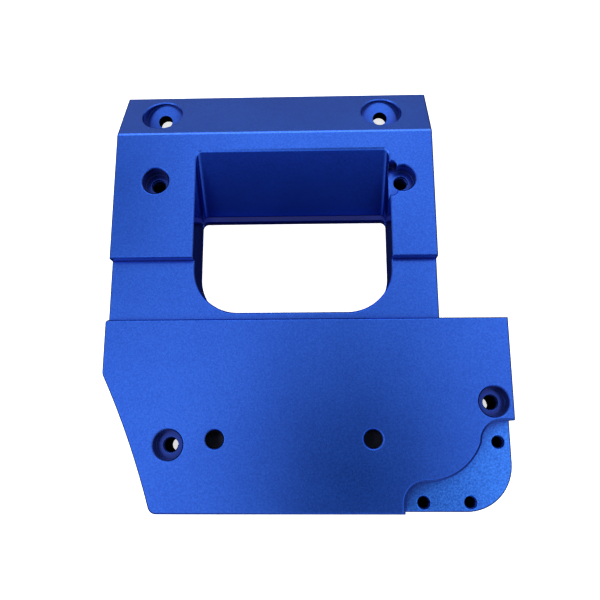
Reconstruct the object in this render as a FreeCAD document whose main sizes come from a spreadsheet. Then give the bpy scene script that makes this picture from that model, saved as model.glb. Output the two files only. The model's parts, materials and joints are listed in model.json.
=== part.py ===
import FreeCAD, Part
import math
import os
import Sketcher

# Pan and tilt camera mount: a low bracket of blue anodised aluminium.
#
# The mount lies flat.  +X is to the right, +Y to the back and +Z up.  The origin is the
# middle of the underside's bounding rectangle.  Every sub-part is drawn from the mount's
# front left bottom corner, and its Placement carries it to the origin.

DOCUMENT_NAME = "pan_tilt_camera_mount"

# Driving dimensions in millimetres.  Heights called "drop" are measured down from the top.
SIZES = {
    # overall
    "plate_width": 105.0,
    "overall_depth": 117.6,
    "overall_height": 15.0,
    # plan of the frame
    "plate_depth": 48.8,
    "channel_width": 16.7,
    "block_width": 87.9,
    "lap_length": 10.5,
    "channel_drop": 2.75,
    "seat_drop": 5.5,
    "edge_break": 0.35,
    "hole_break": 0.2,
    "step_break": 0.6,
    "lip_break": 0.6,
    # window
    "left_rail_width": 22.5,
    "window_width": 53.3,
    "window_strip": 2.2,
    "window_front_radius": 12.0,
    "window_corner_radius": 1.6,
    "window_wall_run": 14.6,
    # sloped back
    "ridge_width": 5.4,
    "slope_run": 16.0,
    "slope_drop": 8.9,
    "flange_length": 17.6,
    "flange_drop": 12.0,
    # under plate
    "under_thickness": 1.4,
    "under_front_lap": 5.0,
    "lip_width": 1.9,
    # front plate's cut-off left side and cut-out corner
    "side_cut_width": 13.9,
    "side_cut_depth": 34.6,
    "side_cut_radius": 210.0,
    "side_join_radius": 3.0,
    "front_join_radius": 2.2,
    "back_join_radius": 0.9,
    "corner_radius": 12.0,
    "boss_radius": 5.3,
    "cutout_radius": 15.0,
    # corner holes
    "corner_hole_dia": 3.1,
    "corner_hole_depth": 8.0,
    "corner_front_inset": 2.3,
    "corner_side_inset": 3.25,
    "corner_front_reach": 22.8,
    "corner_mid_reach": 11.0,
    "corner_back_reach": 17.2,
    # bores for the user's own screws
    "bore_dia": 4.0,
    "plate_counterbore_dia": 7.6,
    "plate_counterbore_depth": 4.0,
    "plate_bore_left": 17.75,
    "plate_bore_left_back": 16.7,
    "plate_bore_right": 4.95,
    "plate_bore_right_back": 27.2,
    "plain_hole_dia": 4.6,
    "plain_hole_depth": 12.0,
    "plain_hole_left": 29.5,
    "plain_hole_spacing": 40.0,
    "plain_hole_back": 18.05,
    "block_counterbore_dia": 7.3,
    "block_counterbore_depth": 4.2,
    "block_bore_side": 11.45,
    "block_bore_edge": 8.7,
    "block_bore_back": 30.0,
    "notch_radius": 1.5,
    "slope_counterbore_dia": 11.0,
    "slope_counterbore_drop": 8.5,
    "slope_bore_spacing": 63.0,
    # joining screws and pins
    "screw_dia": 3.0,
    "screw_head_dia": 5.5,
    "screw_head_height": 3.0,
    "screw_key_across": 2.5,
    "screw_key_depth": 1.5,
    "screw_sink_depth": 3.4,
    "screw_engagement": 3.9,
    "pin_dia": 3.0,
    "pin_depth": 3.6,
    "fit_clearance": 0.1,
    "head_clearance": 0.5,
    "hole_end_gap": 0.4,
    "under_screw_dia": 2.0,
    "under_head_dia": 3.6,
    "under_head_height": 1.1,
    "under_screw_length": 5.0,
    "under_key_across": 1.3,
    "under_key_depth": 0.7,
    # places of the joining screws and pins
    "plate_screw_inset": 7.5,
    "screw_wall": 1.0,
    "plate_screw_front": 6.5,
    "plate_screw_front_left": 22.0,
    "plate_screw_front_right": 69.0,
    "plate_pin_left": 46.0,
    "plate_pin_right": 56.0,
    "block_screw_side": 5.5,
    "block_screw_inner": 17.0,
    "block_pin_side": 11.3,
    "block_right_screw": 8.6,
    "block_right_pin": 3.3,
    "under_screw_inset": 6.0,
    "under_screw_front": 8.0,
    "under_screw_back": 5.0,
}


class Length:
    """A length that knows its number and the sheet formula it comes from."""

    def __init__(self, text, value):
        self.text = text
        self.value = value

    def combine(self, other, sign, value):
        return Length(f"({self.text} {sign} {wrap(other).text})", value)

    def __add__(self, other):
        return self.combine(other, "+", self.value + wrap(other).value)

    def __sub__(self, other):
        return self.combine(other, "-", self.value - wrap(other).value)

    def __mul__(self, other):
        return self.combine(other, "*", self.value * wrap(other).value)

    def __truediv__(self, other):
        return self.combine(other, "/", self.value / wrap(other).value)


def root(length):
    """The square root of a product of lengths."""
    return Length(f"sqrt({length.text})", length.value ** 0.5)


def least(first, second):
    """The smaller of two lengths, such as a fillet limited by its wall."""
    return Length(f"min({first.text}; {second.text})", min(first.value, second.value))


def wrap(number):
    """A plain number as a Length, so that both can be used in one formula."""
    if isinstance(number, Length):
        return number
    return Length(str(number), float(number))


def size(alias):
    """One cell of the sheet."""
    return Length(f"sizes.{alias}", SIZES[alias])


def make_sheet(doc):
    """The spreadsheet that drives the model, one alias to a row."""
    sheet = doc.addObject("Spreadsheet::Sheet", "sizes")
    for row, (alias, value) in enumerate(SIZES.items(), start=1):
        sheet.set(f"A{row}", alias)
        sheet.set(f"B{row}", str(value))
        sheet.setAlias(f"B{row}", alias)
    doc.recompute()
    return sheet


# ---------------------------------------------------------------- levels and main lines

ZERO = wrap(0)

TOP = size("overall_height")
CHANNEL = TOP - size("channel_drop")
SEAT = TOP - size("seat_drop")
FLANGE = TOP - size("flange_drop")
UNDER = size("under_thickness")

RIGHT = size("plate_width")
BACK = size("overall_depth")
PLATE_BACK = size("plate_depth")
BLOCK_RIGHT = size("block_width")
BLOCK_FRONT = PLATE_BACK + size("channel_width")
LAP_BACK = BLOCK_FRONT + size("lap_length")
CREASE = BACK - size("slope_run")
REBATE = BACK - size("flange_length")

WINDOW_LEFT = size("left_rail_width")
WINDOW_RIGHT = WINDOW_LEFT + size("window_width")
WINDOW_FRONT = PLATE_BACK + size("window_strip")
WINDOW_BACK = CREASE - size("ridge_width")
WALL_FOOT = WINDOW_BACK - size("window_wall_run")
UNDER_FRONT = PLATE_BACK - size("under_front_lap")
LIP_EDGE = WALL_FOOT - size("lip_width")

BOSS = size("boss_radius")
CORNER_FRONT = size("corner_front_inset")
CORNER_SIDE = RIGHT - size("corner_side_inset")
CORNER_HOLES = [
    (RIGHT - size("corner_front_reach"), CORNER_FRONT),
    (RIGHT - size("corner_mid_reach"), CORNER_FRONT),
    (CORNER_SIDE, size("corner_back_reach")),
]

PLATE_BORES = [
    (size("plate_bore_left"), size("plate_bore_left_back")),
    (RIGHT - size("plate_bore_right"), size("plate_bore_right_back")),
]
PLAIN_HOLES = [
    (size("plain_hole_left"), size("plain_hole_back")),
    (size("plain_hole_left") + size("plain_hole_spacing"), size("plain_hole_back")),
]
BLOCK_BORES = [
    (size("block_bore_side"), BACK - size("block_bore_back")),
    (BLOCK_RIGHT - size("block_bore_edge"), BACK - size("block_bore_back")),
]
SLOPE_LINE = BACK - size("slope_run") / 2
SLOPE_BORES = [
    (size("block_bore_side"), SLOPE_LINE),
    (size("block_bore_side") + size("slope_bore_spacing"), SLOPE_LINE),
]

FIT = size("fit_clearance")
SINK_DIA = size("screw_head_dia") + size("head_clearance")

LAP_LINE = BLOCK_FRONT + size("lap_length") / 2
PLATE_SCREW_BACK = UNDER_FRONT - SINK_DIA / 2 - size("screw_wall")
PLATE_SCREWS = {
    "plate_screw_back_left": (size("plate_screw_inset"), PLATE_SCREW_BACK),
    "plate_screw_back_right": (RIGHT - size("plate_screw_inset"), PLATE_SCREW_BACK),
    "plate_screw_front_left": (size("plate_screw_front_left"), size("plate_screw_front")),
    "plate_screw_front_right": (size("plate_screw_front_right"), size("plate_screw_front")),
}
PLATE_PINS = {
    "plate_pin_front": (size("plate_pin_left"), size("plate_screw_front")),
    "plate_pin_back": (size("plate_pin_right"), PLATE_SCREW_BACK),
}
BLOCK_SCREWS = {
    "block_screw_left_outer": (size("block_screw_side"), LAP_LINE),
    "block_screw_left_inner": (size("block_screw_inner"), LAP_LINE),
    "block_screw_right": (BLOCK_RIGHT - size("block_right_screw"), LAP_LINE),
}
BLOCK_PINS = {
    "block_pin_left": (size("block_pin_side"), LAP_LINE),
    "block_pin_right": (BLOCK_RIGHT - size("block_right_pin"), LAP_LINE),
}
UNDER_SCREW_FRONT = PLATE_BACK + size("under_screw_front")
UNDER_SCREW_BACK = REBATE - size("under_screw_back")
UNDER_SCREWS = {
    "under_screw_front_left": (size("under_screw_inset"), UNDER_SCREW_FRONT),
    "under_screw_front_right": (BLOCK_RIGHT - size("under_screw_inset"), UNDER_SCREW_FRONT),
    "under_screw_back_left": (size("under_screw_inset"), UNDER_SCREW_BACK),
    "under_screw_back_right": (BLOCK_RIGHT - size("under_screw_inset"), UNDER_SCREW_BACK),
}


# ---------------------------------------------------------------- sketch and feature tools

def bind(item, name, length):
    """Ties one property to the sheet."""
    item.setExpression(name, length.text)


def place(item, x, y, z):
    """Puts a sub-part drawn from the mount's corner at (x, y, z) of the mount's frame."""
    bind(item, "Placement.Base.x", x - RIGHT / 2)
    bind(item, "Placement.Base.y", y - BACK / 2)
    bind(item, "Placement.Base.z", z)


def new_body(doc, name):
    body = doc.addObject("PartDesign::Body", name)
    body.Label = name
    place(body, ZERO, ZERO, ZERO)
    return body


def new_sketch(body, role, offset):
    """A sketch on one of the body's origin planes, moved along its normal by offset."""
    plane = [p for p in body.Origin.OriginFeatures if p.Role == role][0]
    sketch = body.newObject("Sketcher::SketchObject", f"{body.Name}_sketch")
    sketch.AttachmentSupport = [(plane, "")]
    sketch.MapMode = "FlatFace"
    bind(sketch, "AttachmentOffset.Base.z", offset)
    return sketch


def fix_point(sketch, geometry, point, x, y):
    """Holds a point of the sketch at (x, y), each bound to the sheet."""
    axes = (("DistanceX", -2, x), ("DistanceY", -1, y))
    for kind, axis, length in axes:
        if length.text == "0":
            sketch.addConstraint(Sketcher.Constraint("PointOnObject", geometry, point, axis))
            continue
        index = sketch.addConstraint(
            Sketcher.Constraint(kind, -1, 1, geometry, point, length.value))
        bind(sketch, f"Constraints[{index}]", length)


def arc_between(start, end, radius, bulge):
    """The short arc from start to end; it bulges to the right of travel when bulge is 1."""
    chord = end - start
    half = chord.Length / 2
    side = FreeCAD.Vector(chord.y, -chord.x, 0).normalize() * bulge
    centre = (start + end) / 2 - side * (radius ** 2 - half ** 2) ** 0.5
    circle = Part.Circle(centre, FreeCAD.Vector(0, 0, 1), radius)
    first, last = (start, end) if bulge == 1 else (end, start)
    begin, finish = circle.parameter(first), circle.parameter(last)
    if finish < begin:
        finish += 2 * math.pi
    return Part.ArcOfCircle(circle, begin, finish)


def draw_outline(sketch, corners):
    """A closed outline.  A corner is (x, y), or (x, y, radius, bulge) when an arc leaves it."""
    points = [FreeCAD.Vector(c[0].value, c[1].value, 0) for c in corners]
    firsts = []
    for index, corner in enumerate(corners):
        start = points[index]
        end = points[(index + 1) % len(points)]
        if len(corner) == 2:
            firsts.append((sketch.addGeometry(Part.LineSegment(start, end)), 1, 2))
            continue
        geometry = sketch.addGeometry(arc_between(start, end, corner[2].value, corner[3]))
        firsts.append((geometry, 1, 2) if corner[3] == 1 else (geometry, 2, 1))
    for index, (geometry, begin, _) in enumerate(firsts):
        before, _, ending = firsts[index - 1]
        sketch.addConstraint(Sketcher.Constraint("Coincident", before, ending, geometry, begin))
    for (geometry, begin, _), corner in zip(firsts, corners):
        fix_point(sketch, geometry, begin, corner[0], corner[1])
        if len(corner) == 4:
            index = sketch.addConstraint(
                Sketcher.Constraint("Radius", geometry, corner[2].value))
            bind(sketch, f"Constraints[{index}]", corner[2])


def draw_circles(sketch, centres, diameter):
    for x, y in centres:
        centre = FreeCAD.Vector(x.value, y.value, 0)
        circle = Part.Circle(centre, FreeCAD.Vector(0, 0, 1), diameter.value / 2)
        geometry = sketch.addGeometry(circle)
        fix_point(sketch, geometry, 3, x, y)
        index = sketch.addConstraint(
            Sketcher.Constraint("Diameter", geometry, diameter.value))
        bind(sketch, f"Constraints[{index}]", diameter)


def pad(body, sketch, length):
    feature = body.newObject("PartDesign::Pad", f"{body.Name}_pad")
    feature.Profile = sketch
    bind(feature, "Length", length)
    body.Document.recompute()
    return feature


def pocket(body, sketch, length):
    """Cuts length upward from the sketch, and makes sure that something was cut."""
    volume = body.Shape.Volume
    feature = body.newObject("PartDesign::Pocket", f"{body.Name}_pocket")
    feature.Profile = sketch
    feature.Reversed = True
    bind(feature, "Length", length)
    body.Document.recompute()
    if body.Shape.Volume >= volume:
        raise RuntimeError(f"{feature.Name} cuts nothing")
    return feature


def bore(body, centres, diameter, bottom, top):
    """Round holes between two levels."""
    sketch = new_sketch(body, "XY_Plane", bottom)
    draw_circles(sketch, centres, diameter)
    return pocket(body, sketch, top - bottom)


def countersink(body, x, y):
    """A seat for an under screw's head, opening at the underside."""
    plane = [p for p in body.Origin.OriginFeatures if p.Role == "XY_Plane"][0]
    cone = body.newObject("PartDesign::SubtractiveCone", f"{body.Name}_countersink")
    cone.AttachmentSupport = [(plane, "")]
    cone.MapMode = "FlatFace"
    bind(cone, "AttachmentOffset.Base.x", x)
    bind(cone, "AttachmentOffset.Base.y", y)
    bind(cone, "Radius1", size("under_head_dia") / 2)
    bind(cone, "Radius2", size("under_screw_dia") / 2)
    bind(cone, "Height", size("under_head_height"))
    body.Document.recompute()
    return cone


def slab(body, corners, bottom, top):
    """Adds a plate of the given outline between two levels."""
    sketch = new_sketch(body, "XY_Plane", bottom)
    draw_outline(sketch, corners)
    return pad(body, sketch, top - bottom)


def opening(body, corners, bottom, top):
    """Cuts the given outline out between two levels."""
    sketch = new_sketch(body, "XY_Plane", bottom)
    draw_outline(sketch, corners)
    return pocket(body, sketch, top - bottom)


def edge_names(shape, wanted):
    """The names of the edges whose middle point satisfies the test."""
    names = []
    for index, edge in enumerate(shape.Edges, start=1):
        middle = edge.valueAt((edge.FirstParameter + edge.LastParameter) / 2)
        if wanted(edge, middle):
            names.append(f"Edge{index}")
    return names


def dress(body, kind, wanted, amount):
    """Rounds (Fillet) or bevels (Chamfer) the edges of the body's last feature."""
    base = body.Tip
    names = edge_names(base.Shape, wanted)
    if not names:
        raise RuntimeError(f"{body.Name}: no edge to dress")
    feature = body.newObject(f"PartDesign::{kind}", f"{body.Name}_{kind.lower()}")
    feature.Base = (base, names)
    bind(feature, "Radius" if kind == "Fillet" else "Size", amount)
    body.Document.recompute()
    return feature


def meeting(centres, diameter, front, back):
    """The round holes that reach the strip between two lines."""
    reach = diameter.value / 2
    return [c for c in centres
            if c[1].value + reach > front.value and c[1].value - reach < back.value]


def upright(edge):
    """True for a straight vertical edge."""
    ends = [vertex.Point for vertex in edge.Vertexes]
    if len(ends) != 2:
        return False
    return abs(ends[0].x - ends[1].x) < 1e-6 and abs(ends[0].y - ends[1].y) < 1e-6


def near(point, x, y, reach=0.02):
    """True within reach of the plan position (x, y)."""
    return abs(point.x - x.value) < reach and abs(point.y - y.value) < reach


def at_level(edge, level):
    """True when the whole edge lies at one height."""
    return all(abs(vertex.Z - level.value) < 1e-6 for vertex in edge.Vertexes)


# ---------------------------------------------------------------- the four main pieces

def side_cut():
    """The two corners of the hollow arc that cuts off the left front corner."""
    return [
        (ZERO, size("side_cut_depth"), size("side_cut_radius"), -1),
        (size("side_cut_width"), ZERO),
    ]


def on_bed_rim(point):
    """True for the front bed's outer rim, from the left front join round to the right side."""
    radius = size("corner_radius").value
    centre = FreeCAD.Vector(RIGHT.value - radius, radius, point.z)
    on_front = abs(point.y) < 0.01
    on_side = abs(point.x - RIGHT.value) < 0.01
    on_round = point.x > centre.x and point.y < centre.y
    return on_front or on_side or (on_round and abs((point - centre).Length - radius) < 0.01)


def make_base_frame(doc):
    """The frame that everything is screwed to: front bed, two rails and the window's front."""
    body = new_body(doc, "base_frame")
    radius = size("corner_radius")
    front_bed = side_cut() + [
        (RIGHT - radius, ZERO, radius, 1),
        (RIGHT, radius),
        (RIGHT, PLATE_BACK),
        (ZERO, PLATE_BACK),
    ]
    slab(body, front_bed, ZERO, SEAT)
    raised = [(ZERO, PLATE_BACK), (BLOCK_RIGHT, PLATE_BACK),
              (BLOCK_RIGHT, BLOCK_FRONT), (ZERO, BLOCK_FRONT)]
    slab(body, raised, ZERO, CHANNEL)
    lap = [(ZERO, BLOCK_FRONT), (BLOCK_RIGHT, BLOCK_FRONT),
           (BLOCK_RIGHT, LAP_BACK), (ZERO, LAP_BACK)]
    slab(body, lap, ZERO, SEAT)
    dress(body, "Fillet", lambda edge, p: upright(edge) and near(p, ZERO, size("side_cut_depth")),
          size("side_join_radius"))
    dress(body, "Fillet", lambda edge, p: upright(edge) and near(p, size("side_cut_width"), ZERO),
          size("front_join_radius"))
    rebate = [(ZERO, UNDER_FRONT), (BLOCK_RIGHT, UNDER_FRONT), (BLOCK_RIGHT, BACK), (ZERO, BACK)]
    opening(body, rebate, ZERO, UNDER)
    turn = size("window_front_radius")
    window = [
        (WINDOW_LEFT, WINDOW_FRONT + turn, turn, 1),
        (WINDOW_LEFT + turn, WINDOW_FRONT),
        (WINDOW_RIGHT - turn, WINDOW_FRONT, turn, 1),
        (WINDOW_RIGHT, WINDOW_FRONT + turn),
        (WINDOW_RIGHT, BACK),
        (WINDOW_LEFT, BACK),
    ]
    opening(body, window, ZERO, TOP)
    bore(body, CORNER_HOLES, size("corner_hole_dia"), SEAT - size("corner_hole_depth"), SEAT)
    bore(body, PLATE_BORES, size("bore_dia"), ZERO, SEAT)
    bore(body, PLAIN_HOLES, size("plain_hole_dia"), TOP - size("plain_hole_depth"), SEAT)
    clear = size("screw_dia") + FIT * 3
    bore(body, list(PLATE_SCREWS.values()) + list(BLOCK_SCREWS.values()), clear, ZERO, SEAT)
    bore(body, PLATE_SCREWS.values(), SINK_DIA, ZERO, size("screw_sink_depth"))
    bore(body, BLOCK_SCREWS.values(), SINK_DIA, UNDER, UNDER + size("screw_sink_depth"))
    pins = list(PLATE_PINS.values()) + list(BLOCK_PINS.values())
    bore(body, pins, size("pin_dia") + FIT, SEAT - size("pin_depth"), SEAT)
    thread = size("under_screw_dia") + FIT
    bore(body, meeting(UNDER_SCREWS.values(), thread, PLATE_BACK, LAP_BACK), thread, UNDER,
         size("under_screw_length") + size("hole_end_gap"))
    through_lap = meeting(BLOCK_BORES, size("bore_dia"), BLOCK_FRONT, LAP_BACK)
    if through_lap:
        bore(body, through_lap, size("bore_dia"), UNDER, SEAT)
    dress(body, "Chamfer", lambda edge, p: at_level(edge, CHANNEL)
          and PLATE_BACK.value + 0.1 < p.y < BLOCK_FRONT.value - 0.1, size("edge_break"))
    dress(body, "Chamfer", lambda edge, p: at_level(edge, SEAT) and on_bed_rim(p),
          size("edge_break"))
    dress(body, "Chamfer", lambda edge, p: at_level(edge, SEAT) and any(
          abs((FreeCAD.Vector(x.value, y.value, p.z) - p).Length
              - size("corner_hole_dia").value / 2) < 0.01 for x, y in CORNER_HOLES),
          size("hole_break"))
    return body


def step_rim(first, last, margin):
    """A test for points within a margin of the cut-out's rim, from its front to its right end."""
    bosses = [FreeCAD.Vector(x.value, y.value, TOP.value) for x, y in (first, last)]
    left, back = (first[0] - BOSS).value, (last[1] + BOSS).value
    radius = size("cutout_radius").value
    arch = arc_between(
        FreeCAD.Vector(first[0].value, (first[1] + BOSS).value, 0),
        FreeCAD.Vector((last[0] - BOSS).value, last[1].value, 0), radius, 1)
    centre = FreeCAD.Vector(arch.Center.x, arch.Center.y, TOP.value)

    def on_step(point):
        if point.x < left - margin or point.y > back + margin:
            return False
        on_line = point.x < left + margin or point.y > back - margin
        on_boss = any(abs((point - boss).Length - BOSS.value) < margin for boss in bosses)
        return on_line or on_boss or abs((point - centre).Length - radius) < margin

    return on_step


def make_front_plate(doc):
    """The top plate: cut off at its left side, cut out round the three corner holes."""
    body = new_body(doc, "front_plate")
    first, _, last = CORNER_HOLES
    arch = size("cutout_radius")
    outline = side_cut() + [
        (first[0] - BOSS, ZERO),
        (first[0] - BOSS, first[1], BOSS, -1),
        (first[0], first[1] + BOSS, arch, 1),
        (last[0] - BOSS, last[1], BOSS, -1),
        (last[0], last[1] + BOSS),
        (RIGHT, last[1] + BOSS),
        (RIGHT, PLATE_BACK),
        (ZERO, PLATE_BACK),
    ]
    slab(body, outline, SEAT, TOP)
    joins = (
        (ZERO, size("side_cut_depth"), "side_join_radius"),
        (size("side_cut_width"), ZERO, "front_join_radius"),
        (ZERO, PLATE_BACK, "back_join_radius"),
    )
    for x, y, radius in joins:
        dress(body, "Fillet", lambda edge, p: upright(edge) and near(p, x, y), size(radius))
    bore(body, PLATE_BORES, size("bore_dia"), SEAT, TOP)
    bore(body, PLATE_BORES, size("plate_counterbore_dia"),
         TOP - size("plate_counterbore_depth"), TOP)
    bore(body, PLAIN_HOLES, size("plain_hole_dia"), SEAT, TOP)
    bore(body, PLATE_SCREWS.values(), size("screw_dia") + FIT, SEAT,
         SEAT + size("screw_engagement") + size("hole_end_gap"))
    bore(body, PLATE_PINS.values(), size("pin_dia") + FIT, SEAT,
         SEAT + size("pin_depth") + size("hole_end_gap"))
    on_step = step_rim(first, last, size("step_break").value + 0.1)
    dress(body, "Chamfer", lambda edge, p: at_level(edge, TOP) and on_step(p),
          size("step_break"))
    dress(body, "Chamfer", lambda edge, p: at_level(edge, TOP) and not on_step(p),
          size("edge_break"))
    return body


def notch_outline():
    """Where the right counterbore breaks into the window, with its two lips rounded off."""
    x, y = BLOCK_BORES[1]
    turn = size("notch_radius")
    bore_radius = size("block_counterbore_dia") / 2
    reach = bore_radius + turn
    across = x - WINDOW_RIGHT - turn
    along = root(reach * reach - across * across)
    share = bore_radius / reach
    meet_x = x - across * share
    return [
        (WINDOW_RIGHT, y - along, turn, 1),
        (meet_x, y - along * share),
        (meet_x, y + along * share, turn, 1),
        (WINDOW_RIGHT, y + along),
    ]


def on_slope(point):
    """True for a point of the sloped back face."""
    fall = (point.y - CREASE.value) * size("slope_drop").value / size("slope_run").value
    return point.y > CREASE.value and abs(TOP.value - fall - point.z) < 1e-4


def on_wall(edge):
    """True when the whole edge lies in the window's sloped back wall."""
    rise = (TOP - UNDER).value / size("window_wall_run").value
    return all(abs(UNDER.value + (v.Y - WALL_FOOT.value) * rise - v.Z) < 1e-4
               for v in edge.Vertexes)


def near_line(point, line):
    return abs(point.x - line.value) < 1e-4


def make_rear_block(doc):
    """The block behind the channel: window, sloped back and thin rear flange."""
    body = new_body(doc, "rear_block")
    profile = new_sketch(body, "YZ_Plane", ZERO)
    draw_outline(profile, [
        (BLOCK_FRONT, UNDER), (REBATE, UNDER), (REBATE, FLANGE), (BACK, FLANGE), (BACK, TOP - size("slope_drop")),
        (CREASE, TOP), (BLOCK_FRONT, TOP),
    ])
    pad(body, profile, BLOCK_RIGHT)
    for left, right in ((ZERO, WINDOW_LEFT), (WINDOW_RIGHT, BLOCK_RIGHT)):
        rail = [(left, BLOCK_FRONT), (right, BLOCK_FRONT), (right, LAP_BACK), (left, LAP_BACK)]
        opening(body, rail, UNDER, SEAT)
    window = new_sketch(body, "YZ_Plane", WINDOW_LEFT)
    draw_outline(window, [
        (PLATE_BACK, UNDER), (WALL_FOOT, UNDER), (WINDOW_BACK, TOP), (PLATE_BACK, TOP),
    ])
    pocket(body, window, size("window_width"))
    dress(body, "Fillet", lambda edge, p: on_wall(edge)
          and (p.y > LAP_BACK.value or p.z > SEAT.value)
          and (near_line(p, WINDOW_LEFT) or near_line(p, WINDOW_RIGHT)),
          size("window_corner_radius"))
    bore(body, BLOCK_BORES, size("bore_dia"), UNDER, TOP)
    bore(body, BLOCK_BORES, size("block_counterbore_dia"),
         TOP - size("block_counterbore_depth"), TOP)
    if (BLOCK_BORES[1][0] - size("block_counterbore_dia") / 2).value < WINDOW_RIGHT.value:
        opening(body, notch_outline(), TOP - size("block_counterbore_depth"), TOP)
    bore(body, SLOPE_BORES, size("bore_dia"), FLANGE, TOP)
    bore(body, SLOPE_BORES, size("slope_counterbore_dia"),
         TOP - size("slope_counterbore_drop"), TOP)
    bore(body, BLOCK_SCREWS.values(), size("screw_dia") + FIT, SEAT,
         SEAT + size("screw_engagement") + size("hole_end_gap"))
    bore(body, BLOCK_PINS.values(), size("pin_dia") + FIT, SEAT,
         SEAT + size("pin_depth") + size("hole_end_gap"))
    thread = size("under_screw_dia") + FIT
    bore(body, meeting(UNDER_SCREWS.values(), thread, LAP_BACK, BACK), thread, UNDER,
         size("under_screw_length") + size("hole_end_gap"))
    dress(body, "Chamfer", lambda edge, p: at_level(edge, TOP) or on_slope(p), size("edge_break"))
    return body


def make_under_plate(doc):
    """The thin plate under the rails and the block; its back edge is the window's lip."""
    body = new_body(doc, "under_plate")
    slab(body, [(ZERO, UNDER_FRONT), (BLOCK_RIGHT, UNDER_FRONT), (BLOCK_RIGHT, REBATE),
                (ZERO, REBATE)], ZERO, UNDER)
    corner = size("window_corner_radius")
    turn = least(size("window_front_radius"),
                 LIP_EDGE - WINDOW_FRONT - corner - size("edge_break"))
    window = [
        (WINDOW_LEFT, WINDOW_FRONT + turn, turn, 1),
        (WINDOW_LEFT + turn, WINDOW_FRONT),
        (WINDOW_RIGHT - turn, WINDOW_FRONT, turn, 1),
        (WINDOW_RIGHT, WINDOW_FRONT + turn),
        (WINDOW_RIGHT, LIP_EDGE - corner, corner, 1),
        (WINDOW_RIGHT - corner, LIP_EDGE),
        (WINDOW_LEFT + corner, LIP_EDGE, corner, 1),
        (WINDOW_LEFT, LIP_EDGE - corner),
    ]
    opening(body, window, ZERO, UNDER)
    bore(body, BLOCK_BORES, size("bore_dia"), ZERO, UNDER)
    bore(body, UNDER_SCREWS.values(), size("under_screw_dia") + FIT * 2, ZERO, UNDER)
    for x, y in UNDER_SCREWS.values():
        countersink(body, x, y)
    dress(body, "Chamfer", lambda edge, p: at_level(edge, UNDER)
          and abs(p.y - LIP_EDGE.value) < 1e-4, size("lip_break"))
    return body


# ---------------------------------------------------------------- screws and pins

def cylinder(doc, name, radius, height, z):
    item = doc.addObject("Part::Cylinder", name)
    bind(item, "Radius", radius)
    bind(item, "Height", height)
    bind(item, "Placement.Base.z", z)
    return item


def hexagon(doc, name, across, height, z):
    """A six-sided prism for a key socket, given its width across the flats."""
    item = doc.addObject("Part::Prism", name)
    item.Polygon = 6
    bind(item, "Circumradius", across / 1.7320508)
    bind(item, "Height", height)
    bind(item, "Placement.Base.z", z)
    return item


def join(doc, kind, name, base, tool):
    item = doc.addObject(kind, name)
    item.Base = base
    item.Tool = tool
    return item


def make_cap_screw(doc, name, centre, head_seat):
    """A socket head screw, head down, reaching from its seat up into the tapped piece."""
    head_height = size("screw_head_height")
    shank_length = SEAT - head_seat + size("screw_engagement")
    head = cylinder(doc, f"{name}_head", size("screw_head_dia") / 2, head_height, ZERO)
    shank = cylinder(doc, f"{name}_shank", size("screw_dia") / 2, shank_length, head_height)
    blank = join(doc, "Part::Fuse", f"{name}_blank", head, shank)
    socket = hexagon(doc, f"{name}_socket", size("screw_key_across"), size("screw_key_depth"), ZERO)
    screw = join(doc, "Part::Cut", name, blank, socket)
    place(screw, centre[0], centre[1], head_seat - head_height)
    return screw


def make_pin(doc, name, centre):
    """A dowel pin, half in the frame and half in the piece above it."""
    pin = cylinder(doc, name, size("pin_dia") / 2, size("pin_depth") * 2, ZERO)
    place(pin, centre[0], centre[1], SEAT - size("pin_depth"))
    return pin


def make_under_screw(doc, name, centre):
    """A small countersunk screw, flush with the underside."""
    head_height = size("under_head_height")
    head = doc.addObject("Part::Cone", f"{name}_head")
    bind(head, "Radius1", size("under_head_dia") / 2)
    bind(head, "Radius2", size("under_screw_dia") / 2)
    bind(head, "Height", head_height)
    shank = cylinder(doc, f"{name}_shank", size("under_screw_dia") / 2,
                     size("under_screw_length") - head_height, head_height)
    blank = join(doc, "Part::Fuse", f"{name}_blank", head, shank)
    socket = hexagon(doc, f"{name}_socket", size("under_key_across"), size("under_key_depth"), ZERO)
    screw = join(doc, "Part::Cut", name, blank, socket)
    place(screw, centre[0], centre[1], ZERO)
    return screw


# ---------------------------------------------------------------- assembly and export

def build(doc):
    """Every sub-part of the mount."""
    pieces = [
        make_base_frame(doc),
        make_front_plate(doc),
        make_rear_block(doc),
        make_under_plate(doc),
    ]
    for name, centre in PLATE_SCREWS.items():
        pieces.append(make_cap_screw(doc, name, centre, size("screw_sink_depth")))
    for name, centre in BLOCK_SCREWS.items():
        pieces.append(make_cap_screw(doc, name, centre, UNDER + size("screw_sink_depth")))
    for name, centre in {**PLATE_PINS, **BLOCK_PINS}.items():
        pieces.append(make_pin(doc, name, centre))
    for name, centre in UNDER_SCREWS.items():
        pieces.append(make_under_screw(doc, name, centre))
    doc.recompute()
    return pieces


def check(doc, pieces):
    """Stops at any object that failed and at any sub-part that isn't one sound solid."""
    for item in doc.Objects:
        if "Invalid" in item.State or "Error" in item.State:
            raise RuntimeError(f"{item.Name} failed: {item.State}")
    for piece in pieces:
        shape = piece.Shape
        if shape.isNull() or not shape.isValid() or len(shape.Solids) != 1:
            raise RuntimeError(f"{piece.Label} is not one sound solid")


def main():
    os.makedirs("parts", exist_ok=True)
    doc = FreeCAD.newDocument(DOCUMENT_NAME)
    make_sheet(doc)
    pieces = build(doc)
    check(doc, pieces)
    for piece in pieces:
        piece.Shape.exportStep(f"parts/{piece.Label}.step")
        box = piece.Shape.BoundBox
        print(f"{piece.Label:26s} {piece.Shape.Volume:10.1f} mm3  "
              f"x {box.XMin:7.2f} {box.XMax:7.2f}  y {box.YMin:7.2f} {box.YMax:7.2f}  "
              f"z {box.ZMin:6.2f} {box.ZMax:6.2f}")


main()
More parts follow.
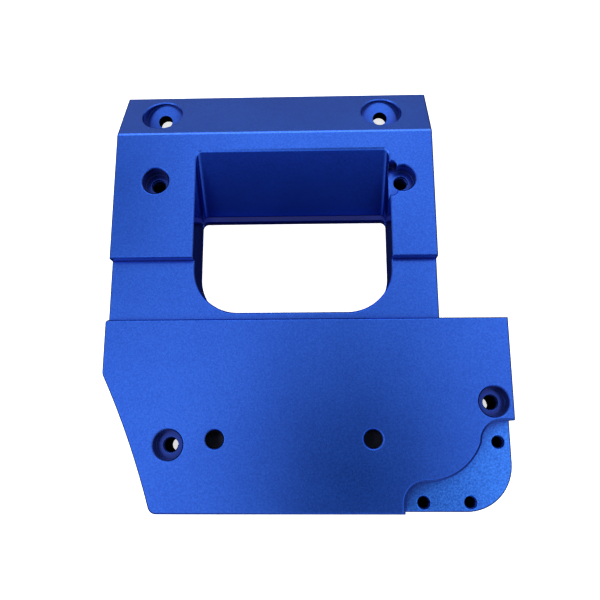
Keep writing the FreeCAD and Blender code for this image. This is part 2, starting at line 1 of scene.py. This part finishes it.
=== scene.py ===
# %% [markdown]
# # Pan and tilt camera mount
# A low bracket machined from aluminium, blasted with fine beads and anodised blue.  It lies
# flat on a pale table.  The metal pieces come ready made from the frame, so this lesson is
# about light, about an anodised finish, and about the cut threads inside the holes.

import json
import math

import bmesh
import bpy
from mathutils import Matrix, Vector


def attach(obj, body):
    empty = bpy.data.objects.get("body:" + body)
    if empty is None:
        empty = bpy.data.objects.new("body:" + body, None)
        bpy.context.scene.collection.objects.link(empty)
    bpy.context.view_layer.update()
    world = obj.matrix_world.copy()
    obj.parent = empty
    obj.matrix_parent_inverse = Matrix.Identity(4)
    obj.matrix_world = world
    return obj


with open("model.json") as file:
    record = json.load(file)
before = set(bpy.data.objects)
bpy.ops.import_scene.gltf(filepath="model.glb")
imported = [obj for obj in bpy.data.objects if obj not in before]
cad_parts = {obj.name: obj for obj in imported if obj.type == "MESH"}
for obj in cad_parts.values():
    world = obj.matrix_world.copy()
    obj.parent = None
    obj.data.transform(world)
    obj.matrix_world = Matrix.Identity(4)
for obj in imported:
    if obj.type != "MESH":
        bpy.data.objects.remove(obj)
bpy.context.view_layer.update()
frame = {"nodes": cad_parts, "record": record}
MM = 0.001

# %% [markdown]
# ## Camera
# The mount is looked at from almost straight above, from a little in front of its middle.
# A camera could be aimed with a constraint, but a matrix built from three directions is
# exact and stays put when another view moves the camera.

# %% Camera above the mount
CAMERA_PLACE = Vector((3.19, -39.95, 177.08)) * MM
CAMERA_RIGHT = Vector((0.9996, -0.00238, -0.02806))
CAMERA_UP = Vector((0.00822, 0.9777, 0.20986))
CAMERA_LENS = 37.956

camera_data = bpy.data.cameras.new("mount_camera")
camera_data.sensor_width = 36
camera_data.lens = CAMERA_LENS
camera_data.clip_start = 0.01
camera_data.clip_end = 20
camera = bpy.data.objects.new("mount_camera", camera_data)
bpy.context.scene.collection.objects.link(camera)
across = CAMERA_RIGHT.normalized()
backward = across.cross(CAMERA_UP).normalized()
upward = backward.cross(across)
turn = Matrix((across, upward, backward)).transposed().to_4x4()
camera.matrix_world = Matrix.Translation(CAMERA_PLACE) @ turn
bpy.context.scene.camera = camera
bpy.context.scene.view_settings.view_transform = "Standard"
bpy.context.scene.view_settings.look = "Medium High Contrast"
print("camera stands at", [round(c, 4) for c in camera.matrix_world.translation])

# %% [markdown]
# ## Small helpers for nodes
# Light, grain and edges are all little sums done with nodes.  Drawing each Math node by
# hand makes long cells, so a few helpers add one and return its output, and a sum then
# reads like a formula.

# %% Helpers for nodes
def calculate(tree, operation, first, second=0.0):
    """A Math node whose inputs may be sockets or plain numbers."""
    node = tree.nodes.new("ShaderNodeMath")
    node.operation = operation
    for socket, value in zip(node.inputs, (first, second)):
        if isinstance(value, (int, float)):
            socket.default_value = value
        else:
            tree.links.new(value, socket)
    return node.outputs[0]


def remap(tree, value, from_low, from_high, to_low=0.0, to_high=1.0):
    """A Map Range node, held between its two ends."""
    node = tree.nodes.new("ShaderNodeMapRange")
    for title, number in (("From Min", from_low), ("From Max", from_high),
                          ("To Min", to_low), ("To Max", to_high)):
        node.inputs[title].default_value = number
    tree.links.new(value, node.inputs["Value"])
    return node.outputs["Result"]


def blend(tree, mask, low, high):
    """A colour between two, by a mask."""
    node = tree.nodes.new("ShaderNodeMix")
    node.data_type = "RGBA"
    tree.links.new(mask, node.inputs["Factor"])
    for socket, value in ((node.inputs[6], low), (node.inputs[7], high)):
        if isinstance(value, tuple):
            socket.default_value = (*value, 1)
        else:
            tree.links.new(value, socket)
    return node.outputs[2]


def bump_shape(tree, first, second, centre, width):
    """A smooth round patch: 1 at its centre, fading out over its widths."""
    squares = []
    for value, middle, reach in zip((first, second), centre, width):
        offset = calculate(tree, "DIVIDE", calculate(tree, "SUBTRACT", value, middle), reach)
        squares.append(calculate(tree, "MULTIPLY", offset, offset))
    total = calculate(tree, "ADD", squares[0], squares[1])
    return calculate(tree, "EXPONENT", calculate(tree, "MULTIPLY", total, -1.0))


# %% [markdown]
# ## Table
# The table is plain and pale.  A white table right under the metal would fill the window's
# walls with light and lose their deep colour.  So the metal mirrors a table that is in its
# own shade close by and pale further out, and only the camera sees it at full white.

# %% Pale table
TABLE_REACH = 3.0
TABLE_WHITE = (0.93, 0.93, 0.93)
TABLE_PALE = (0.50, 0.50, 0.50)
TABLE_SHADE = (0.02, 0.03, 0.11)
TABLE_GLOW = 0.60
SHADE_ENDS = 0.210
SHADE_FULL = 0.120

table_mesh = bpy.data.meshes.new("table")
shaper = bmesh.new()
bmesh.ops.create_grid(shaper, x_segments=1, y_segments=1, size=TABLE_REACH)
shaper.to_mesh(table_mesh)
shaper.free()
table = bpy.data.objects.new("table", table_mesh)
bpy.context.scene.collection.objects.link(table)
table_paint = bpy.data.materials.new("table_paint")
table_paint.use_nodes = True
tree = table_paint.node_tree
table_shader = tree.nodes["Principled BSDF"]
table_shader.inputs["Roughness"].default_value = 0.9
table_shader.inputs["Specular IOR Level"].default_value = 0.0
table_shader.inputs["Emission Color"].default_value = (1, 1, 1, 1)
seen = tree.nodes.new("ShaderNodeLightPath").outputs["Is Camera Ray"]
distance = tree.nodes.new("ShaderNodeVectorMath")
distance.operation = "LENGTH"
tree.links.new(tree.nodes.new("ShaderNodeTexCoord").outputs["Object"], distance.inputs[0])
in_shade = remap(tree, distance.outputs["Value"], SHADE_ENDS, SHADE_FULL)
mirrored = blend(tree, in_shade, TABLE_PALE, TABLE_SHADE)
tree.links.new(blend(tree, seen, mirrored, TABLE_WHITE), table_shader.inputs["Base Color"])
tree.links.new(remap(tree, seen, 0, 1, 0.0, TABLE_GLOW), table_shader.inputs["Emission Strength"])
table_mesh.materials.append(table_paint)
print("table:", len(tree.nodes), "nodes")

# %% [markdown]
# ## Room light
# Blue metal has almost no colour of its own in the dark: it shows what it mirrors.  The
# room is bright and soft overhead, dim right above where someone in a navy shirt leans over
# the part, and dim in its far left corner.  Lamps alone would give hard streaks that a
# blasted surface doesn't have, so the room itself is painted by direction.  A bright band
# behind gives bent edges their fine line, and one weak panel gives the holes a lit side.

# %% What stands where in the room
# Each patch has its centre and its widths, then how much it takes from the glow or adds.
CEILING_GLOW = 1.12
WALL_GLOW = 0.66
BACK_WALL_GLOW = 0.52
DIMMEST = 0.05
LOWEST_RISE = 0.2
PERSON_ABOVE = ((0.06, -0.12), (0.16, 0.34))
FAR_CORNER = ((-0.42, 0.40), (0.17, 0.22))
CORNER_TAKES = 0.80
PERSON_BODY = ((0.0, 0.42), (0.55, 0.24))
BODY_TAKES = 0.60
NAVY_SHIRT = (0.35, 0.42, 1.0)
BACK_BAND = ((0.78, 0.60), (0.14, 0.10))
BAND_ADDS = 2.4
BACKDROP = 0.92

# %% Room painted by direction
room = bpy.data.worlds.new("room")
room.use_nodes = True
tree = room.node_tree
direction = tree.nodes.new("ShaderNodeSeparateXYZ")
tree.links.new(tree.nodes.new("ShaderNodeTexCoord").outputs["Generated"],
               direction.inputs["Vector"])
side, ahead, rise = direction.outputs
safe_rise = calculate(tree, "MAXIMUM", rise, LOWEST_RISE)
lean_side = calculate(tree, "DIVIDE", side, safe_rise)
lean_back = calculate(tree, "DIVIDE", ahead, safe_rise)
person = bump_shape(tree, lean_side, lean_back, *PERSON_ABOVE)
far_corner = bump_shape(tree, lean_side, lean_back, *FAR_CORNER)
ceiling = calculate(tree, "SUBTRACT", CEILING_GLOW,
                    calculate(tree, "MULTIPLY", person, CEILING_GLOW))
ceiling = calculate(tree, "SUBTRACT", ceiling,
                    calculate(tree, "MULTIPLY", far_corner, CORNER_TAKES))
ceiling = calculate(tree, "MAXIMUM", ceiling, DIMMEST)
body = bump_shape(tree, side, rise, *PERSON_BODY)
body = calculate(tree, "MULTIPLY", body, remap(tree, ahead, -0.35, -0.65))
walls = calculate(tree, "SUBTRACT", remap(tree, ahead, 0.45, 0.90, WALL_GLOW, BACK_WALL_GLOW),
                  calculate(tree, "MULTIPLY", body, BODY_TAKES))
above = remap(tree, rise, 0.45, 0.80)
high = calculate(tree, "MULTIPLY", ceiling, above)
low = calculate(tree, "MULTIPLY", walls, calculate(tree, "SUBTRACT", 1.0, above))
band = calculate(tree, "MULTIPLY", bump_shape(tree, ahead, rise, *BACK_BAND), BAND_ADDS)
glow = calculate(tree, "ADD", calculate(tree, "ADD", high, low), band)
seen = tree.nodes.new("ShaderNodeLightPath").outputs["Is Camera Ray"]
unseen = calculate(tree, "SUBTRACT", 1.0, seen)
tree.links.new(calculate(tree, "ADD", calculate(tree, "MULTIPLY", seen, BACKDROP),
                         calculate(tree, "MULTIPLY", glow, unseen)),
               tree.nodes["Background"].inputs["Strength"])
shirt = calculate(tree, "MULTIPLY", body, unseen)
tree.links.new(blend(tree, shirt, (1.0, 1.0, 1.0), NAVY_SHIRT),
               tree.nodes["Background"].inputs["Color"])
bpy.context.scene.world = room
print("room:", len(tree.nodes), "nodes")

# %% One weak panel at the left
lamp = bpy.data.lights.new("left_panel", "AREA")
lamp.size = 0.30
lamp.energy = 0.22
panel = bpy.data.objects.new("left_panel", lamp)
panel.location = (-0.45, -0.05, 0.42)
panel.rotation_euler = panel.location.to_track_quat("Z", "Y").to_euler()
bpy.context.scene.collection.objects.link(panel)
print("left panel:", round(lamp.energy, 2), "W")

# %% [markdown]
# ## Blasted grain
# Bead blasting leaves a skin of tiny pits, each a tenth of a millimetre or two across.
# They could be modelled only with millions of faces, so two scales of noise give them as a
# height for the bump and as a mask for colour.  One group serves every blasted piece.

# %% A new group, and noise
def new_group(name, inputs, outputs):
    """An empty shader group with number inputs and the given outputs."""
    group = bpy.data.node_groups.new(name, "ShaderNodeTree")
    for title, value in inputs.items():
        socket = group.interface.new_socket(title, in_out="INPUT", socket_type="NodeSocketFloat")
        socket.default_value = value
    for title in outputs:
        group.interface.new_socket(title, in_out="OUTPUT", socket_type="NodeSocketFloat")
    entry = group.nodes.new("NodeGroupInput")
    leave = group.nodes.new("NodeGroupOutput")
    return group, entry, leave


def noise(tree, where, scale, detail):
    """A noise pattern on a position, as a value that averages one half."""
    node = tree.nodes.new("ShaderNodeTexNoise")
    node.inputs["Detail"].default_value = detail
    tree.links.new(where, node.inputs["Vector"])
    if isinstance(scale, (int, float)):
        node.inputs["Scale"].default_value = scale
    else:
        tree.links.new(scale, node.inputs["Scale"])
    return node.outputs["Fac"]


# %% Blasted grain group
grain, entry, leave = new_group(
    "blasted_grain", {"Pits per metre": 5200.0}, ["Height", "Speckle", "Cloud"])
place = grain.nodes.new("ShaderNodeTexCoord").outputs["Object"]
pits = noise(grain, place, entry.outputs["Pits per metre"], 2.0)
clumps = noise(grain, place, calculate(
    grain, "MULTIPLY", entry.outputs["Pits per metre"], 0.42), 3.0)
clouds = noise(grain, place, 45.0, 3.0)
height = calculate(grain, "ADD", calculate(grain, "MULTIPLY", pits, 0.65),
                   calculate(grain, "MULTIPLY", clumps, 0.35))
grain.links.new(height, leave.inputs["Height"])
grain.links.new(clumps, leave.inputs["Speckle"])
grain.links.new(clouds, leave.inputs["Cloud"])
print("blasted grain:", len(grain.nodes), "nodes")

# %% [markdown]
# ## Worn and highlit edges
# Dye lies thinner on a sharp corner, and handling polishes it, so each edge is painted a
# fine bright line that is partly that wear and partly a painted highlight.  Geometry's
# Pointiness would show it in one renderer only.  A Bevel node's rounded normal, compared
# with the true one, finds the edges on any mesh.

# %% Edge group
BEVEL_SAMPLES = 6
FLAT_AGREES = 0.995
CORNER_AGREES = 0.86
edges, entry, leave = new_group("worn_and_highlit_edges", {"Reach": 0.0003}, ["Edge"])
rounded = edges.nodes.new("ShaderNodeBevel")
rounded.samples = BEVEL_SAMPLES
edges.links.new(entry.outputs["Reach"], rounded.inputs["Radius"])
facing = edges.nodes.new("ShaderNodeNewGeometry")
agree = edges.nodes.new("ShaderNodeVectorMath")
agree.operation = "DOT_PRODUCT"
edges.links.new(rounded.outputs["Normal"], agree.inputs[0])
edges.links.new(facing.outputs["True Normal"], agree.inputs[1])
edge = remap(edges, agree.outputs["Value"], FLAT_AGREES, CORNER_AGREES)
edges.links.new(edge, leave.inputs["Edge"])
print("worn edges:", len(edges.nodes), "nodes")

# %% [markdown]
# ## Painted shade deep in holes
# Little light reaches into a narrow hole, so its wall is painted darker than the open
# faces, as painted shade.  Picking the hole's faces by hand would tie the finish to one
# mesh, so an Ambient Occlusion node measures how closed in each spot is.  It gives two
# masks of painted shade: the depth of a bore, and the milder shelter of a counterbore.

# %% Deep hole group
BORE_OPEN, BORE_CLOSED = 0.44, 0.06
COUNTERBORE_OPEN, COUNTERBORE_CLOSED = 0.74, 0.36
deep, entry, leave = new_group("painted_hole_shade", {"Reach": 0.012}, ["Depth", "Painted Hollow Shade"])
closed_in = deep.nodes.new("ShaderNodeAmbientOcclusion")
closed_in.samples = 8
deep.links.new(entry.outputs["Reach"], closed_in.inputs["Distance"])
deep.links.new(remap(deep, closed_in.outputs["AO"], BORE_OPEN, BORE_CLOSED),
               leave.inputs["Depth"])
deep.links.new(remap(deep, closed_in.outputs["AO"], COUNTERBORE_OPEN, COUNTERBORE_CLOSED),
               leave.inputs["Painted Hollow Shade"])
print("deep holes:", len(deep.nodes), "nodes")

# %% [markdown]
# ## A paler place and a painted shade
# Two places get their own colour: the open corner step is paler and livelier, and the narrow
# lip under the window's back wall is painted darker, as painted shade at the wall's foot.  A
# painted mask would need a UV map, but each place is a plain box, so its limits in metres are
# enough.

# %% Box mask group
boxed, entry, leave = new_group(
    "inside_box", {"From X": -1.0, "To X": 1.0, "From Y": -1.0, "To Y": 1.0, "From Z": -1.0},
    ["Inside"])
spot = boxed.nodes.new("ShaderNodeSeparateXYZ")
boxed.links.new(boxed.nodes.new("ShaderNodeTexCoord").outputs["Object"], spot.inputs["Vector"])
tests = [calculate(boxed, "GREATER_THAN", spot.outputs["X"], entry.outputs["From X"]),
         calculate(boxed, "LESS_THAN", spot.outputs["X"], entry.outputs["To X"]),
         calculate(boxed, "GREATER_THAN", spot.outputs["Y"], entry.outputs["From Y"]),
         calculate(boxed, "LESS_THAN", spot.outputs["Y"], entry.outputs["To Y"]),
         calculate(boxed, "GREATER_THAN", spot.outputs["Z"], entry.outputs["From Z"])]
inside = tests[0]
for test in tests[1:]:
    inside = calculate(boxed, "MULTIPLY", inside, test)
boxed.links.new(inside, leave.inputs["Inside"])
print("inside box:", len(boxed.nodes), "nodes")

# %% [markdown]
# ## Materials
# Anodised aluminium is metal seen through a dyed, clear oxide skin.  A metallic base gives
# the tinted mirror, and a thin coat gives the whiter gleam of the oxide on top.  Screws are
# black oxide steel and pins are bright ground steel, and they reuse the same groups.

# %% A metal material from its own numbers
def use_group(tree, group, settings):
    """Places a shared group in a material and sets its inputs."""
    node = tree.nodes.new("ShaderNodeGroup")
    node.node_tree = group
    for title, value in settings.items():
        node.inputs[title].default_value = value
    return node


# Painted shade: the near black that the occlusion mask lays deep in bores.
HOLE_PAINTED_SHADE = (0.0008, 0.0012, 0.008)
HOLE_REACH = 0.012
SPECKLE_SHARE = 0.75
WEAR_AND_HIGHLIGHT_SHARE = 0.28
COAT_ROUGHNESS = 0.18
WEAR_AND_HIGHLIGHT_REACH = 0.0003
ROLLED_EDGE = 0.00035
PIT_HEIGHT = 0.00002


def make_metal(name, dark, light, edge, rough, rough_range, bump, pits, coat,
               painted_hollow_shade=None, place=None):
    """Blasted or plated metal: two speckle colours, an edge colour for wear and painted
    highlight, painted shade in hollows, and a fine bump.
    """
    metal = bpy.data.materials.new(name)
    metal.use_nodes = True
    tree = metal.node_tree
    shader = tree.nodes["Principled BSDF"]
    shader.inputs["Metallic"].default_value = 1.0
    shader.inputs["Coat Weight"].default_value = coat
    shader.inputs["Coat Roughness"].default_value = COAT_ROUGHNESS
    skin = use_group(tree, grain, {"Pits per metre": pits})
    rim = use_group(tree, edges, {"Reach": WEAR_AND_HIGHLIGHT_REACH})
    mixed = calculate(
        tree, "ADD", calculate(tree, "MULTIPLY", skin.outputs["Speckle"], SPECKLE_SHARE),
        calculate(tree, "MULTIPLY", skin.outputs["Cloud"], 1 - SPECKLE_SHARE))
    speckle = remap(tree, mixed, 0.36, 0.64)
    face = blend(tree, speckle, dark, light)
    # The edge colour is partly wear and partly a painted highlight along every edge.
    wear_and_highlight = calculate(tree, "MULTIPLY", rim.outputs["Edge"], WEAR_AND_HIGHLIGHT_SHARE)
    shade = use_group(tree, deep, {"Reach": HOLE_REACH})
    if place:
        limits, place_dark, place_light = place
        here = use_group(tree, boxed, limits)
        other = blend(tree, speckle, place_dark, place_light)
        face = blend(tree, here.outputs["Inside"], face, other)
    # Painted shade: the shelter mask blends counterbores and other hollows toward a dark navy,
    # and the depth mask blends deep bores toward near black.
    if painted_hollow_shade:
        face = blend(tree, shade.outputs["Painted Hollow Shade"], face, painted_hollow_shade)
    clean = blend(tree, wear_and_highlight, face, edge)
    tree.links.new(blend(tree, shade.outputs["Depth"], clean, HOLE_PAINTED_SHADE),
                   shader.inputs["Base Color"])
    gloss = remap(tree, skin.outputs["Cloud"], 0, 1, rough - rough_range, rough + rough_range)
    tree.links.new(gloss, shader.inputs["Roughness"])
    relief = tree.nodes.new("ShaderNodeBump")
    relief.inputs["Strength"].default_value = bump
    relief.inputs["Distance"].default_value = PIT_HEIGHT
    tree.links.new(skin.outputs["Height"], relief.inputs["Height"])
    soft_edge = tree.nodes.new("ShaderNodeBevel")
    soft_edge.samples = BEVEL_SAMPLES
    soft_edge.inputs["Radius"].default_value = ROLLED_EDGE
    tree.links.new(soft_edge.outputs["Normal"], relief.inputs["Normal"])
    tree.links.new(relief.outputs["Normal"], shader.inputs["Normal"])
    return metal


# %% The finishes
# The last colour of BLUE is painted shade for counterbores and other hollows.
BLUE = ((0.018, 0.096, 0.53), (0.032, 0.140, 0.67), (0.09, 0.27, 0.95),
        0.22, 0.03, 0.30, 5200.0, 0.50, (0.006, 0.022, 0.22))
CORNER_STEP = ({"From X": 0.0255, "To Y": -0.0362, "From Z": 0.0091},
               (0.018, 0.125, 0.60), (0.055, 0.255, 0.96))
# The window lip's dark colours are painted shade at the foot of the back wall.
WINDOW_LIP_PAINTED_SHADE = ({"From X": -0.0301, "To X": 0.0234, "From Y": 0.0205, "To Y": 0.0234,
               "From Z": 0.0002},
              (0.002, 0.006, 0.09), (0.004, 0.012, 0.14))
FINISHES = {
    "blue_anodised": make_metal("blue_anodised", *BLUE),
    "blue_stepped": make_metal("blue_stepped", *BLUE, place=CORNER_STEP),
    "blue_lip_painted_shade": make_metal("blue_lip_painted_shade", *BLUE, place=WINDOW_LIP_PAINTED_SHADE),
    "black_steel": make_metal(
        "black_steel", (0.012, 0.012, 0.013), (0.030, 0.030, 0.032), (0.16, 0.15, 0.14),
        0.40, 0.06, 0.25, 7000.0, 0.10),
    "bright_steel": make_metal(
        "bright_steel", (0.50, 0.50, 0.51), (0.60, 0.60, 0.61), (0.75, 0.75, 0.76),
        0.24, 0.05, 0.08, 9000.0, 0.0),
}
print("finishes:", ", ".join(FINISHES))

# %% [markdown]
# ## Dress the frame's pieces
# Each piece of the frame names the finish it takes.  Its meshes stay exactly as they are;
# only what fills their material slots changes.

# %% Put each finish on its pieces
OWN_FINISH = {"base_frame": "blue_stepped", "under_plate": "blue_lip_painted_shade"}
slots = {part["node"]: part["material_slot"] for part in frame["record"]["subparts"]}
for name, piece in frame["nodes"].items():
    finish = OWN_FINISH.get(name, slots[name])
    for index in range(len(piece.data.materials)):
        piece.data.materials[index] = FINISHES[finish]
    print(f"{name:26s} {finish}")

# %% [markdown]
# ## Cut threads
# The holes that take the user's own screws are tapped.  A thread is a small ridge that
# climbs the wall in a helix.  A normal map would vanish from the side, so one triangle is
# spun round the hole's axis with a rise, which is how a tap cuts it.

# %% One thread ridge
THREAD_STEPS = 24
THREAD_DEPTH = 0.42
INTO_WALL = 0.02


def cut_thread(name, x, y, bottom, top, diameter, pitch):
    """A helical ridge on the wall of a hole, all sizes in millimetres."""
    turns = int((top - bottom - pitch) / pitch)
    depth = pitch * THREAD_DEPTH
    radius = diameter / 2 + INTO_WALL
    thread = bmesh.new()
    corners = [
        thread.verts.new((radius * MM, 0, (bottom + pitch * 0.08) * MM)),
        thread.verts.new(((radius - depth) * MM, 0, (bottom + pitch * 0.5) * MM)),
        thread.verts.new((radius * MM, 0, (bottom + pitch * 0.92) * MM)),
    ]
    profile = thread.faces.new(corners)
    rise = pitch * MM / THREAD_STEPS
    result = bmesh.ops.spin(
        thread, geom=[profile] + profile.edges[:] + profile.verts[:], cent=(0, 0, 0),
        axis=(0, 0, 1), dvec=(0, 0, rise), angle=2 * math.pi * turns,
        steps=THREAD_STEPS * turns, use_merge=False, use_duplicate=False)
    bmesh.ops.translate(thread, verts=thread.verts, vec=(x * MM, y * MM, 0))
    bmesh.ops.recalc_face_normals(thread, faces=thread.faces)
    mesh = bpy.data.meshes.new(name)
    thread.to_mesh(mesh)
    thread.free()
    mesh.materials.append(FINISHES["blue_anodised"])
    piece = bpy.data.objects.new(name, mesh)
    bpy.context.scene.collection.objects.link(piece)
    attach(piece, "root")
    print(f"{name:26s} {turns} turns, {len(mesh.polygons)} faces")
    return piece


# %% Threads in the tapped holes
FRONT, LEFT = -58.8, -52.5
for name, x, y, bottom, top, diameter, pitch in (
        ("thread_corner_left", 82.2, 2.3, 1.6, 9.2, 3.1, 0.5),
        ("thread_corner_middle", 94.0, 2.3, 1.6, 9.2, 3.1, 0.5),
        ("thread_corner_back", 101.75, 17.2, 1.6, 9.2, 3.1, 0.5),
        ("thread_plate_left", 17.75, 16.7, 0.2, 10.9, 4.0, 0.7),
        ("thread_plate_right", 100.05, 27.2, 0.2, 10.9, 4.0, 0.7),
        ("thread_block_left", 11.45, 87.6, 0.2, 10.7, 4.0, 0.7),
        ("thread_block_right", 79.2, 87.6, 0.2, 10.7, 4.0, 0.7)):
    cut_thread(name, x + LEFT, y + FRONT, bottom, top, diameter, pitch)
